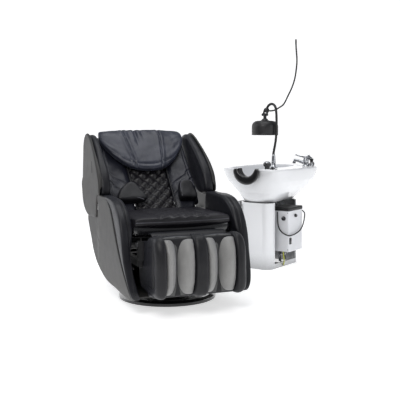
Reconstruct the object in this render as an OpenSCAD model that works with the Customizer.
// Shampoo backwash unit: a swivelling massage recliner and a ceramic backwash
// basin on a pedestal. Millimetres, +Z up, origin on the floor at the centre of
// the chair's floor disc. The seated client faces -Y. The basin stands behind
// and to one side, with its neck notch facing the origin.
// "Right" in a name means the +X side, "left" the -X side.

/* [Chair] */
// Overall width across the arm shells
chair_w = 776; // [770:1:784]
// Height of the seat cushion top at its front edge
seat_h = 515; // [505:1:520]
// Diameter of the round floor disc
disc_d = 582; // [540:2:600]
// Height of the arm rests
arm_h = 606; // [600:1:612]
// Slope of the backrest above the horizontal when fully upright
back_slope = 48.4; // [47:0.1:50]
// Length of the backrest from its hinge to the top edge
back_len = 625; // [600:1:640]
// Width of the back cushions between the wings
back_w = 592; // [560:2:600]
// Width of the leg rest
leg_w = 524; // [500:2:540]

/* [Basin] */
// Height of the basin rim above the floor
rim_h = 714; // [700:1:730]
// Half width of the basin rim, side to side
bowl_a = 265; // [255:1:275]
// Half length of the basin rim, front to back
bowl_b = 335; // [325:1:340]
// Distance from the chair's swivel axis to the basin centre
basin_d = 1243; // [1240:1:1260]
// Direction of the basin as seen from the swivel axis, measured from +Y
basin_turn = -57.5; // [-60:0.5:-55]
// Height of the pedestal below the basin
ped_h = 468; // [460:1:472]
// Width of the pedestal column
ped_w = 260; // [240:2:270]

/* [Hood] */
// Height of the top of the flexible arm
arm_top = 1180; // [1150:5:1220]
// Width of the black dome
dome_w = 190; // [180:2:200]

/* [Hidden] */
$fn = 64;

fit = 0.05;             // extra radius of a close-fitting bore
rest = 0.2;             // gap under a part that stands on another

half_w = chair_w/2;     // outer face of the arm shells
shell_wall = 26;
arm_inner = 316;        // inner face of the arm pads
seat_half_w = 298;
leg_half_w = leg_w/2;
back_y = 205;           // back hinge
back_z = 480;
leg_y = -335;           // leg-rest hinge
leg_z = 370;
pin_r = 8;              // pins of both hinges

black = [0.05, 0.05, 0.05];
soft_black = [0.06, 0.06, 0.06];
shell_black = [0.1, 0.1, 0.1];
shell_grey = [0.14, 0.14, 0.15];
frame_grey = [0.2, 0.2, 0.21];

// ---- helpers ---------------------------------------------------------------
function spline_point(before, start, end, after, t) =
  0.5*(2*start + (end-before)*t + (2*before-5*start+4*end-after)*t*t
    + (3*start-before-3*end+after)*t*t*t);
// smooth closed outline through the corner points
function smooth(points, steps=5) = let(n=len(points))
  [for (i=[0:n-1]) for (k=[0:steps-1])
    spline_point(points[(i-1+n)%n], points[i], points[(i+1)%n], points[(i+2)%n], k/steps)];
function superellipse(half_x, half_y, power, n=64) =
  [for (i=[0:n-1]) let(c=cos(360*i/n), s=sin(360*i/n))
    [half_x*sign(c)*pow(abs(c), 2/power), half_y*sign(s)*pow(abs(s), 2/power)]];

// a (y, z) profile extruded along x
module extrude_x(x0, x1)
  translate([x0, 0, 0]) rotate([90, 0, 90]) linear_extrude(x1-x0) children();
module extrude_x_pair(near, far) {
  extrude_x(near, far) children();
  extrude_x(-far, -near) children();
}
// an (x, z) profile extruded along y
module extrude_y(y0, y1)
  translate([0, y1, 0]) rotate([90, 0, 0]) linear_extrude(y1-y0) children();
module extrude_z(z0, z1) translate([0, 0, z0]) linear_extrude(z1-z0) children();

// a box between two corners; the pair adds its mirror image in x
module box(low, high) translate(low) cube(high-low);
module box_pair(low, high) {
  box(low, high);
  box([-high.x, low.y, low.z], [-low.x, high.y, high.z]);
}

// cylinders: up from base, towards -Y from start, and along x
module post(base, h, r) translate(base) cylinder(h=h, r=r);
module front_pin(start, h, r) translate(start) rotate([90, 0, 0]) cylinder(h=h, r=r);
module pin_x(x0, x1, y, z, r) translate([x0, y, z]) rotate([0, 90, 0]) cylinder(h=x1-x0, r=r);
module pin_pair(near, far, y, z, r) {
  pin_x(near, far, y, z, r);
  pin_x(-far, -near, y, z, r);
}
module axle(y, z, length, r) pin_x(-length/2, length/2, y, z, r);
module hinge_bore(y, z, gap=fit) axle(y, z, 800, pin_r+gap);
module rod(start, end, r) {
  span = end-start;
  length = norm(span);
  translate(start) rotate([0, acos(span.z/length), atan2(span.y, span.x)])
    cylinder(h=length, r=r);
}
module hose(points, r) {
  for (i=[0:len(points)-2]) rod(points[i], points[i+1], r);
  for (i=[1:len(points)-2]) translate(points[i]) sphere(r=r+0.3, $fn=32);
}
module rounded_rect(x0, y0, x1, y1, r) {
  translate([x0+r, y0]) square([x1-x0-2*r, y1-y0]);
  translate([x0, y0+r]) square([x1-x0, y1-y0-2*r]);
  for (x=[x0+r, x1-r]) for (y=[y0+r, y1-r]) translate([x, y]) circle(r=r);
}

// backrest frame: +Z runs up the back from the hinge, -Y is its front
module in_back() translate([0, back_y, back_z]) rotate([-(90-back_slope), 0, 0]) children();
// basin frame: origin on the floor, -Y faces the chair
module in_basin() rotate([0, 0, basin_turn]) translate([0, basin_d, 0]) children();

// ---- chair: floor, frame and shells ----------------------------------------
spindle_r = 22;
rail_low = 250;         // seat-frame rails, bottom and top
rail_high = 290;
rail_half_w = 290;
leg_x0 = 150;           // frame legs, inner and outer face
leg_x1 = 185;
leg_depth = 40;
leg_ys = [-120, 80];    // front faces of the frame legs
shelf_top = 174;        // shelf between the legs
tail = [0, 35, 200];    // lower pivot of the recline actuator
tail_pin_r = 6;

module floor_disc() color(soft_black) difference() {
  union() {
    cylinder(h=16, d=disc_d, $fn=96);
    translate([0, 0, 16]) cylinder(h=8, d1=disc_d-4, d2=disc_d-60, $fn=96);
    cylinder(h=46, r=95);
  }
  post([0, 0, -1], 60, spindle_r);
}

module swivel_spindle() color("silver") {
  post([0, 0, 1], 87, spindle_r);
  post([0, 0, 66], 4, 40);
}

module turntable() color([0.15, 0.15, 0.16]) difference() {
  union() {
    post([0, 0, 47], 18, 130);
    post([0, 0, 71], 9, 220);
    for (a=[45:90:359]) rotate([0, 0, a]) post([110, 0, 60], 15, 12);
  }
  post([0, 0, 40], 60, spindle_r+fit);
  // room for the spindle's collar
  post([0, 0, 65.01], 5.98, 42);
}

module cross_rail(y, depth)
  box([-rail_half_w, y, rail_low], [rail_half_w, y+depth, rail_high]);

module seat_frame() color(frame_grey) difference() {
  union() {
    // side rails, then leg-rest and backrest uprights
    box_pair([262, -330, rail_low], [rail_half_w, 235, rail_high]);
    box_pair([262, -350, 285], [rail_half_w, -315, 390]);
    box_pair([268, 179, 285], [296, 240, 496]);
    for (y=leg_ys) {
      box_pair([leg_x0, y, 80], [leg_x1, y+leg_depth, 255]);
      cross_rail(y, leg_depth);
    }
    cross_rail(195, 40);
    box([-152, -83, 168], [152, 83, shelf_top]);
    // posts and plate under the seat cushion
    for (y=[-235, 130]) {
      box_pair([200, y, 288], [235, y+35, 397]);
      cross_rail(y, 35);
    }
    box([-rail_half_w, -262, 396], [rail_half_w, 160, 400]);
    // actuator bracket
    box_pair([20, 10, 180], [50, 60, 258]);
    cross_rail(10, 50);
  }
  hinge_bore(back_y, back_z);
  hinge_bore(leg_y, leg_z);
  axle(tail.y, tail.z, 200, tail_pin_r+fit);
  // room for the actuator
  box([-75, 61, 240], [75, 190, 387]);
  box([-19.5, 5, 240], [19.5, 61, 262]);
}

// closes the underside and the rear between the two shells; lower face (y, z)
belly_line = [[-400, 92], [-60, 92], [126, 158], [263, 250], [345, 332], [388, 384]];
module belly_cover() color(shell_black) difference() {
  extrude_x(-304, 304) polygon(concat(belly_line,
    [for (i=[5:-1:0]) belly_line[i] + (i>1 ? [-6, 6] : [0, 8])]));
  for (y=leg_ys) box_pair([leg_x0-3, y-2, 80], [leg_x1+3, y+leg_depth+2, 200]);
}

// side view of an arm shell (y, z)
hull_line = [
  [-212, 552], [-120, arm_h-10], [-20, arm_h-3], [160, arm_h-4],
  [184, 572], [206, 512], [300, 488], [430, 480], [474, 458], [486, 428],
  [462, 388], [402, 316], [345, 243], [262, 182], [170, 124], [60, 84], [-150, 68],
  [-350, 68], [-408, 84], [-410, 120], [-380, 196], [-338, 290], [-320, 390],
  [-300, 446], [-262, 508]];
// (x, z) curve of the shell's lower flank, meeting the upright face at x
function flank(x, angles) = [for (t=angles) [x-54+54*sin(t), 80+330*(1-cos(t))]];
shell_x = half_w-shell_wall;    // inner face of the shell

module hull_right() color([0.23, 0.22, 0.21]) intersection() {
  extrude_x(0, half_w) polygon(smooth(hull_line));
  extrude_y(-460, 560) polygon(concat(
    [[half_w-56, 60]], flank(half_w, [0:10:90]),
    [[half_w, 440], [half_w, 700], [shell_x, 700], [shell_x, 440]],
    flank(shell_x, [90:-10:0]), [[shell_x-56, 60]]));
  // the rear is narrower, leaving room for the wing
  union() {
    box([0, -460, 0], [half_w+1, 190, 700]);
    box([0, 185, 0], [half_w-14, 560, 700]);
  }
}
module hull_left() mirror([1, 0, 0]) hull_right();

// padded arm between the shell and the seat, side view (y, z)
arm_pad_line = [
  [-216, 554], [-122, arm_h-8], [-20, arm_h], [140, arm_h-2], [166, 586], [176, 480],
  [146, 392], [-80, 392], [-180, 388], [-250, 360], [-300, 270], [-356, 150], [-398, 104],
  [-414, 112], [-384, 196], [-342, 290], [-324, 390], [-304, 446], [-266, 508]];
module arm_pad_right() color([0.13, 0.13, 0.16]) intersection() {
  extrude_y(-460, 400) polygon(concat(flank(shell_x-1, [10:10:90]),
    [[shell_x-1, 700], [arm_inner-1, 700], [arm_inner-1, 85]]));
  extrude_x(arm_inner, arm_inner+44) polygon(smooth(arm_pad_line));
}
module arm_pad_left() mirror([1, 0, 0]) arm_pad_right();

module front_apron() color(black) extrude_x(-296, 296) polygon(smooth(
  [[-266, 408], [-269, 438], [-265, 468], [-250, 470], [-247.5, 438], [-250, 408]], 4));

module seat_cushion() color([0.16, 0.15, 0.2]) extrude_x(-seat_half_w, seat_half_w) polygon([
  [-245, 402], [-245, 474], [-288, 477], [-298, seat_h-16], [-288, seat_h-3], [-262, seat_h],
  [-80, seat_h-8], [168, seat_h-6], [176, seat_h-20], [164, 402]]);

module back_hinge_pins() color("silver") pin_pair(244, 302, back_y, back_z, pin_r);

module leg_gearmotor() color([0.35, 0.35, 0.36]) {
  axle(leg_y, leg_z, 600, pin_r);
  pin_pair(292, 300, leg_y, leg_z, 14);
  box([40, leg_y-34, leg_z-34], [150, leg_y+34, leg_z+34]);
  pin_x(-150, 42, leg_y, leg_z, 30);
}

module power_supply() color([0.5, 0.5, 0.52])
  box([-142, -72, shelf_top+rest], [-72, 72, 240]);

module air_pump() color([0.12, 0.12, 0.13]) {
  box([72, -72, shelf_top+rest], [142, 72, 226]);
  post([107, 0, 225], 16, 28);
}

module air_valves_and_hoses() color([0.6, 0.6, 0.58]) {
  box([-140, -70, 296], [-20, -20, 330]);
  for (i=[0:3]) post([-125+i*30, -45, 329], 20, 6);
  hose([[-130, -19.5, 312], [-130, 10, 312], [-130, 70, 318], [-130, 104, 350]], 5);
  hose([[-40, -19.5, 312], [-44, 14, 316], [-60, 72, 322], [-90, 104, 350]], 5);
}

// ---- backrest, in its own frame --------------------------------------------
eye_y = 96;             // actuator eye
eye_z = 82;
shaft_y = 44;           // kneading shaft
shaft_z = 250;
shaft_r = 5;

module back_frame() color(frame_grey) in_back() difference() {
  union() {
    box_pair([210, 30, 20], [240, 62, back_len-60]);
    box_pair([243, -14, -14], [263, 62, 38]);
    box_pair([210, 30, 20], [263, 62, 60]);
    for (z=[40, back_len-90]) box([-240, 30, z], [240, 62, z+30]);
    box([-14, 58, 68], [14, 84, 100]);
    axle(eye_y, eye_z, 28, 14);
  }
  hinge_bore(0, 0);
  axle(eye_y, eye_z, 30, 10);
}

// tray behind the backrest, with a column of slots
module back_shell() color(shell_grey) in_back() difference() {
  extrude_y(64, 100) rounded_rect(-290, 120, 290, back_len-8, 80);
  extrude_y(60, 90) rounded_rect(-282, 128, 282, back_len-16, 72);
  for (i=[0:7]) box([-110, 80, 300+i*22], [110, 101, 308+i*22]);
}

module back_cushion_centre() color([0.15, 0.14, 0.18]) in_back()
  extrude_y(-28, 16) rounded_rect(-128, 16, 128, back_len-30, 24);

module back_side_cushions() color([0.16, 0.16, 0.2]) for (m=[0, 1]) mirror([m, 0, 0]) in_back()
  extrude_y(-28, 18) rounded_rect(131, 40, back_w/2, back_len-24, 34);

// side views (y, z) of the wing's inner panel, its outer plate and its pad
wing_line = [
  [-124, 84], [-148, 135], [-156, 230], [-148, 370], [-127, 490], [-96, 546], [-46, 576],
  [14, 582], [64, 554], [112, 498], [148, 428], [158, 350], [100, 292], [30, 238],
  [-40, 178], [-88, 110]];
wing_plate_line = [
  [-104, 112], [-46, 74], [33, 18], [110, 70], [212, 140], [234, 198], [214, 262],
  [184, 330], [146, 384], [60, 300], [-60, 200]];
wing_pad_line = [
  [-118, 100], [-142, 150], [-150, 240], [-142, 370], [-121, 482], [-92, 536], [-50, 556],
  [-6, 540], [18, 450], [26, 360], [18, 280], [-10, 220], [-60, 165], [-90, 118]];
module wing_right() color(shell_grey) in_back() {
  extrude_x(356, 386) polygon(smooth(wing_line));
  extrude_x(half_w-12, half_w) polygon(smooth(wing_plate_line));
}
module wing_left() mirror([1, 0, 0]) wing_right();
module wing_pad_right() color(soft_black) in_back()
  extrude_x(arm_inner, 354.5) polygon(smooth(wing_pad_line));
module wing_pad_left() mirror([1, 0, 0]) wing_pad_right();

// two flaps at the waist, left and right, front view (x, z)
waist_lines = [
  [[-272, 52], [-268, 128], [-215, 168], [-140, 182], [-104, 140], [-88, 60], [-180, 46]],
  [[274, 52], [272, 140], [258, 186], [196, 196], [166, 150], [156, 56], [214, 46]]];
module waist_pads() color([0.07, 0.06, 0.07]) in_back()
  for (line=waist_lines) extrude_y(-86, -30) polygon(smooth(line));

// channels that open inwards
module massage_rails() color("silver") in_back() difference() {
  box_pair([150, 26, 71], [166, 56, back_len-91]);
  box_pair([149, 34, 66], [160, 48, 545]);
}

module massage_carriage() color([0.4, 0.4, 0.42]) in_back() difference() {
  union() {
    box([-146, 24, 200], [146, 30, 300]);
    box_pair([120, 24, 200], [146, 58, 300]);
    for (z=[225, 275]) pin_pair(145, 158, 41, z, 6);
  }
  axle(shaft_y, shaft_z, 400, shaft_r+fit);
  box([-118, 20, 222], [118, 60, 278]);
}

// shaft with two rollers set off its axis
module kneading_shaft() color([0.75, 0.7, 0.6]) in_back() {
  axle(shaft_y, shaft_z, 280, shaft_r);
  pin_pair(61, 79, shaft_y, shaft_z+3, 15);
}

// front view (x, z)
pillow_line = [
  [-276, back_len+4], [0, back_len+6], [276, back_len+4], [282, back_len-60],
  [276, 450], [240, 360], [160, 300], [60, 276],
  [-60, 276], [-160, 300], [-240, 360], [-276, 450], [-282, back_len-60]];
module head_pillow() color([0.3, 0.32, 0.4]) in_back()
  extrude_y(-84, -32) polygon(smooth(pillow_line, 4));

// recline actuator, in the chair's frame, from the tail pivot to the backrest's eye
eye = [0, back_y+eye_z*cos(back_slope)+eye_y*sin(back_slope),
  back_z+eye_z*sin(back_slope)-eye_y*cos(back_slope)];
stroke_dir = (eye-tail)/norm(eye-tail);
plunger_r = 11;
function along(distance) = tail+stroke_dir*distance;

module back_actuator() color(shell_black) difference() {
  union() {
    rod(tail, along(230), 20);
    axle(tail.y, tail.z, 34, 18);
    axle(tail.y, tail.z, 104, tail_pin_r);
    // cylinder standing out to the side
    translate(along(78)) pin_x(14, 64, 0, 0, 20);
  }
  rod(along(24), along(240), plunger_r+fit);
}

// plunger and the fork that holds the eye
module back_actuator_rod() color("silver") {
  rod(along(90), eye-stroke_dir*30, plunger_r);
  box_pair(eye+[15, -30, -34], eye+[21, 8, 8]);
  box(eye+[-21, -36, -40], eye+[21, -14, -24]);
  axle(eye.y, eye.z, 40, 5);
}

// ---- leg rest ----------------------------------------------------------------
module legrest_frame() color(frame_grey) difference() {
  union() {
    box_pair([215, -420, 150], [240, -395, 396]);
    box_pair([228, -420, 350], [240, -320, 386]);
    for (z=[170, 350]) box([-240, -420, z], [240, -402, z+20]);
  }
  hinge_bore(leg_y, leg_z);
}

// side views (y, z) of the shell's body, calf wells, side cheeks, ridges and pads
leg_body_line = [
  [-470, 424], [-420, 420], [-396, 404], [-394, 300], [-394, 160], [-402, 112],
  [-450, 104], [-500, 104], [-508, 160], [-508, 300], [-500, 400]];
leg_well_line = [[-520, 140], [-520, 390], [-486, 390], [-474, 300], [-474, 200], [-486, 140]];
cheek_line = [
  [-402, 124], [-274, 130], [-254, 200], [-250, 350], [-262, 372], [-290, 383], [-402, 396]];
ridge_line = [
  [-515, 116], [-560, 118], [-578, 160], [-578, 300], [-566, 380], [-532, 420], [-515, 416]];
calf_pad_line = [
  [-494, 162], [-530, 154], [-556, 168], [-562, 260], [-554, 345], [-530, 366], [-494, 362]];
// arc about the leg-rest hinge
function knee_arc(r, angles) = [for (a=angles) [leg_y+r*cos(a), leg_z+r*sin(a)]];

module legrest_body() difference() {
  extrude_x(-leg_half_w, leg_half_w) polygon(smooth(leg_body_line, 4));
  extrude_x_pair(18, leg_half_w-24) polygon(leg_well_line);
  box([-245, -424, 145], [245, -390, 398]);
}

module legrest_shell() color(shell_black) {
  legrest_body();
  difference() {
    extrude_x_pair(243, 253.5) polygon(cheek_line);
    hinge_bore(leg_y, leg_z, 0.2);
  }
  pin_pair(253, 256.5, -266, 283, 9);
  // knee roll that covers the hinge
  extrude_x(-224, 224) polygon(concat(knee_arc(62, [62:8:150]),
    [[-400, 412], [-400, 404]], knee_arc(56, [150:-8:62])));
}

module calf_ridges() color(shell_black) {
  extrude_x_pair(leg_half_w-58, leg_half_w) polygon(smooth(ridge_line, 4));
  extrude_x(-36, 36) polygon(smooth(ridge_line, 4));
}

module calf_pads() color([0.6, 0.6, 0.6])
  for (x=[[40, 117], [123, 202]]) extrude_x_pair(x[0], x[1]) polygon(smooth(calf_pad_line, 4));

// ---- basin: pedestal, bowl and plumbing --------------------------------------
ped_half_w = ped_w/2;
ped_wall = 12;
drain_x = -60;
waste_y = 120;          // waste pipe at the floor
notch_r = 80;           // neck notch
notch_z = rim_h+6;
// places on the basin's deck (x, y)
arm_foot = [112, -160];
mixer = [205, 155];
shower = [222, 214];
knob = [124, -270];
button = [140, -222];
arm_r = 8;              // foot of the hood arm
// a point at height z above the deck
function deck(place, z) = [place.x, place.y, rim_h+z];

module pedestal_outline(inset) rounded_rect(
  -ped_half_w+inset, -250+inset, ped_half_w-inset, 190-inset, 62-inset);
module pedestal() color([0.93, 0.94, 0.95]) in_basin() difference() {
  extrude_z(0, ped_h) pedestal_outline(0);
  extrude_z(-1, ped_h+1) pedestal_outline(ped_wall);
  // opening in the +X side
  box([ped_half_w-40, -172, 34], [ped_half_w+40, 140, ped_h+1]);
}

module floor_plate() color("silver") in_basin() difference() {
  box([-ped_half_w+ped_wall+1, -150, 0], [ped_half_w-ped_wall-1, 34, 6]);
  for (a=[45:90:359]) translate([0, -48, 0]) rotate([0, 0, a]) post([85, 0, -1], 9, 5.5);
}

module oval(base, h, half_x, half_y, power)
  translate(base) linear_extrude(h) polygon(superellipse(half_x, half_y, power));
module bowl() color([0.95, 0.96, 0.97]) in_basin() difference() {
  hull() {
    oval([0, 0, rim_h-24], 24, bowl_a, bowl_b, 4.6);
    oval([0, 5, rim_h-90], 1, bowl_a-10, bowl_b-14, 4);
    oval([0, -10, 540], 1, bowl_a-75, bowl_b-85, 3.2);
    oval([0, -30, ped_h+1], 1, 112, 205, 3.4);
  }
  hull() {
    oval([-75, 6, rim_h-2], 4, 158, 298, 3.6);
    oval([-72, 6, 600], 1, 138, 270, 3.2);
    oval([drain_x, 4, 522], 1, 70, 150, 2.6);
  }
  post([drain_x, 0, ped_h-5], 80, 30);
  post(deck(button, -20), 30, 6);
  front_pin([0, -240, notch_z], 120, notch_r, $fn=72);
}

// saddle that drops into the neck notch
module neck_cushion() color(black) in_basin() difference() {
  union() {
    front_pin([0, -300, notch_z], 52, notch_r-1, $fn=72);
    front_pin([0, -337, notch_z], 24, 118, $fn=72);
  }
  front_pin([0, -250, rim_h+16], 140, 62, $fn=72);
  box([-130, -400, rim_h+2], [130, -250, rim_h+150]);
}

module drain_flange() color("silver") in_basin() difference() {
  union() {
    post([drain_x, 0, 523.2], 4, 42);
    post([drain_x, 0, ped_h-18], 544-ped_h, 29);
  }
  post([drain_x, 0, ped_h-20], 90, 25);
}

module hair_strainer() color("silver") in_basin() translate([drain_x, 0, 0]) difference() {
  union() {
    post([0, 0, 527.4], 2, 34);
    post([0, 0, 510], 18, 23);
    post([0, 0, 529], 12, 5);
  }
  post([0, 0, 508], 17, 21);
  for (a=[0:45:359]) rotate([0, 0, a]) post([14, 0, 520], 12, 3.4);
}

// (y, z) course of the trap, from the drain to the floor pipe
trap_path = [[0, 449], [0, 330], [20, 305], [50, 305], [72, 330], [90, 345], [112, 330],
  [waste_y, 300], [waste_y, 72]];
module waste_trap() color([0.85, 0.85, 0.85]) in_basin() difference() {
  union() {
    hose([for (p=trap_path) [drain_x, p[0], p[1]]], 20);
    post([drain_x, waste_y, 12], 61, 16);
    post([drain_x, 35, 270], 40, 24);
  }
  post([drain_x, waste_y, -2], 120, 13);
}

module stop_valves() color("silver") in_basin() for (y=[60, 130]) {
  post([40, y, 12], 50, 10.48);
  post([40, y, 60], 34, 15);
  rod([40, y, 78], [66, y, 78], 7);
  rod([66, y, 78], [76, y, 78], 16);
  hose([[40, y, 90], [40, y, 300], [20, y-20, 380], [20, y-30, ped_h-2]], 6);
}

// water box on the +X side of the pedestal
wbox_low = 115;
wbox_high = 405;
temp_x = 159;           // temperature dial, on the front face
temp_z = 352;
flow_y = -2;            // flow dial, on the +X face
flow_z = 368;
dial_stem_r = 6;
module wbox_outline(grow, corner_r)
  rounded_rect(60-grow, -94-grow, 200+grow, 111+grow, corner_r);

module water_box() color([0.94, 0.94, 0.96]) in_basin() difference() {
  extrude_z(wbox_low, wbox_high) wbox_outline(0, 10);
  extrude_z(wbox_low+4, 419) wbox_outline(-4, 8);
  // groove in the +X face
  box([199, -70, 128], [201, 90, 131]);
  front_pin([temp_x, -80, temp_z], 20, dial_stem_r+fit);
  pin_x(180, 220, flow_y, flow_z, dial_stem_r+fit);
  box([190, -84, 172], [204, -64, 212]);
}

module water_box_lid() color(black) in_basin() difference() {
  union() {
    extrude_z(wbox_high+rest, wbox_high+rest+26) wbox_outline(2, 12);
    extrude_z(395, 407) wbox_outline(-5, 7);
  }
  extrude_z(394, 424) wbox_outline(-9, 5);
}

module water_box_hose() color(black) in_basin() hose([
  [112, -104, 398], [114, -104, 330], [124, -104, 284], [150, -105, 254], [186, -105, 238],
  [206, -101, 234], [212, -84, 234], [212, -20, 238], [212, 50, 256], [212, 92, 288],
  [214, 112, 330], [212, 122, 372], [190, 124, 392], [150, 124, 396]], 4);

module temp_dial() color(shell_black) in_basin() {
  front_pin([temp_x, -94.6, temp_z], 14, 15);
  front_pin([temp_x, -84, temp_z], 14, dial_stem_r);
  translate([temp_x-1.5, -110, temp_z+1]) cube([3, 3, 12]);
}

module flow_dial() color(shell_black) in_basin() {
  pin_x(200.6, 205.6, flow_y, flow_z, 12);
  pin_x(188, 202, flow_y, flow_z, dial_stem_r);
}

module power_switch() color([0.15, 0.15, 0.15]) in_basin() box([193, -83, 173], [206, -65, 211]);

module water_pump() color([0.2, 0.3, 0.5]) in_basin() {
  post([120, 40, 119.5], 90, 40);
  box([85, -70, 119.5], [160, -12, 190]);
  rod([120, 4, 160], [120, -16, 160], 9);
}

// ---- basin: fittings on the deck ---------------------------------------------
module deck_flange() color("silver") in_basin() translate(deck(arm_foot, rest)) difference() {
  union() {
    cylinder(h=7, r=25);
    cylinder(h=34, r=13);
  }
  post([0, 0, 9], 30, arm_r+fit);
}

hood_pivot = [27, -136, arm_top-84];    // tilt axis of the hood
hood_pin_r = 4;

module hood_arm() color(black) in_basin() {
  post(deck(arm_foot, 10), 28, arm_r);
  post(deck(arm_foot, 36), 14, 13);
  post(deck(arm_foot, 48), 60, 9);
  hose([deck(arm_foot, 107), [122, -160, 870], [131, -160, 920], [135, -160, 970],
    [137, -160, 1040], [135, -160, 1104], [129, -157, arm_top-42], [115, -150, arm_top-20],
    [94, -141, arm_top-9], [70, -129, arm_top-9], [48, -119, arm_top-18],
    [34, -112, arm_top-31], [27, -109, arm_top-46]], 8);
  rod([27, -107.8, arm_top-43], [27, -117.4, arm_top-63.2], 17.5);
  rod([34, -112, arm_top-56], [62, -104, arm_top-56], 3);
  // fork and tilt pin of the hood
  translate(hood_pivot) rotate([0, 0, 90]) {
    for (y=[-15.5, 12.6]) extrude_y(y, y+2.9)
      polygon([[-9, -9], [9, -9], [30, 36], [14, 44], [-9, 6]]);
    front_pin([0, 22, 0], 44, hood_pin_r);
  }
}

module feed_hose() color(black) in_basin() {
  post([206, 0, 1605], 35, 6);
  hose([[63, -103.7, arm_top-56], [92, -99, arm_top-50], [120, -88, arm_top-32],
    [146, -72, 1172], [170, -56, 1228], [190, -32, 1290], [204, -14, 1356], [212, -6, 1426],
    [214, 0, 1492], [208, 0, 1572], [206, 0, 1608]], 4);
}

dome_r = dome_w/2;
// quarter round of the dome's shoulder, about (x, z)
function shoulder(x, z) = [for (t=[90:-10:0]) [x+42*cos(t), z+42*sin(t)]];
module hood_dome() color(soft_black) in_basin() translate(hood_pivot) {
  difference() {
    union() {
      axle(0, 0, 24, 9);
      rod([0, 0, -5], [0, 0, -48], 11.5);
    }
    axle(0, 0, 40, hood_pin_r+fit);
  }
  translate([0, 0, -146]) rotate_extrude($fn=96) difference() {
    polygon(concat([[0, 100]], shoulder(dome_r-42, 58), [[dome_r, 0], [0, 0]]));
    polygon(concat([[-1, -1], [-1, 92]], shoulder(dome_r-48, 50), [[dome_r-6, -1]]));
  }
  post([0, 0, -130], 5, dome_r-6.5);
}

module mixer_body() color("silver") in_basin() difference() {
  union() {
    post(deck(mixer, rest), 5, 27);
    post(deck(mixer, rest), 46, 21);
    // spout
    rod(deck(mixer, 24), deck([118, 140], 44), 11);
    rod(deck([119, 140], 52), deck([116, 140], 26), 12);
    // socket of the hand shower and the pipe to it
    post(deck(shower, rest), 22, 17);
    hose([deck([226, 155], 14), deck([240, 158], 22), deck([247, 176], 30),
      deck([247, 200], 26), deck([240, 214], 14), deck([232, 214], 10)], 5.5);
  }
  post(deck(shower, 4), 30, 12.6);
}

module mixer_cap() color("silver") in_basin() {
  translate(deck(mixer, 46.6)) cylinder(h=10, r1=21, r2=18);
  for (y=[-12, 8]) box(deck(mixer+[-9, y], 56), deck(mixer+[9, y+4], 74));
}

module mixer_lever() color("silver") in_basin() {
  front_pin(deck(mixer+[0, 7.5], 67), 15, 8);
  rod(deck([202, 155], 67), deck([126, 155], 80), 5);
  translate(deck([126, 155], 80)) sphere(r=6.5);
}

module hand_shower() color("silver") in_basin() {
  post(deck(shower, 5), 40, 12);
  translate(deck(shower, 44)) cylinder(h=8, r1=12, r2=15);
  rod(deck(shower, 50), deck([198, 210], 66), 14);
  rod(deck([205, 211], 58), deck([190, 208], 69), 18);
}

module deck_knob() color("silver") in_basin() {
  post(deck(knob, 0.4), 14, 17);
  translate(deck(knob, 14)) cylinder(h=22, r1=19, r2=24);
  translate(deck(knob, 36)) cylinder(h=14, r1=24, r2=15);
}

module deck_button() color([0.08, 0.08, 0.08]) in_basin() {
  post(deck(button, 5), 6, 8);
  post(deck(button, -14), 19.5, 5);
}

floor_disc();
swivel_spindle();
turntable();
seat_frame();
belly_cover();
hull_left();
hull_right();
arm_pad_left();
arm_pad_right();
front_apron();
seat_cushion();
back_hinge_pins();
leg_gearmotor();
power_supply();
air_pump();
air_valves_and_hoses();
back_frame();
back_shell();
back_cushion_centre();
back_side_cushions();
wing_left();
wing_right();
wing_pad_left();
wing_pad_right();
waist_pads();
massage_rails();
massage_carriage();
kneading_shaft();
head_pillow();
back_actuator();
back_actuator_rod();
legrest_frame();
legrest_shell();
calf_ridges();
calf_pads();
pedestal();
floor_plate();
bowl();
neck_cushion();
drain_flange();
hair_strainer();
waste_trap();
stop_valves();
water_box();
water_box_lid();
water_box_hose();
temp_dial();
flow_dial();
power_switch();
water_pump();
deck_flange();
mixer_body();
mixer_cap();
mixer_lever();
hand_shower();
hood_arm();
feed_hose();
hood_dome();
deck_knob();
deck_button();
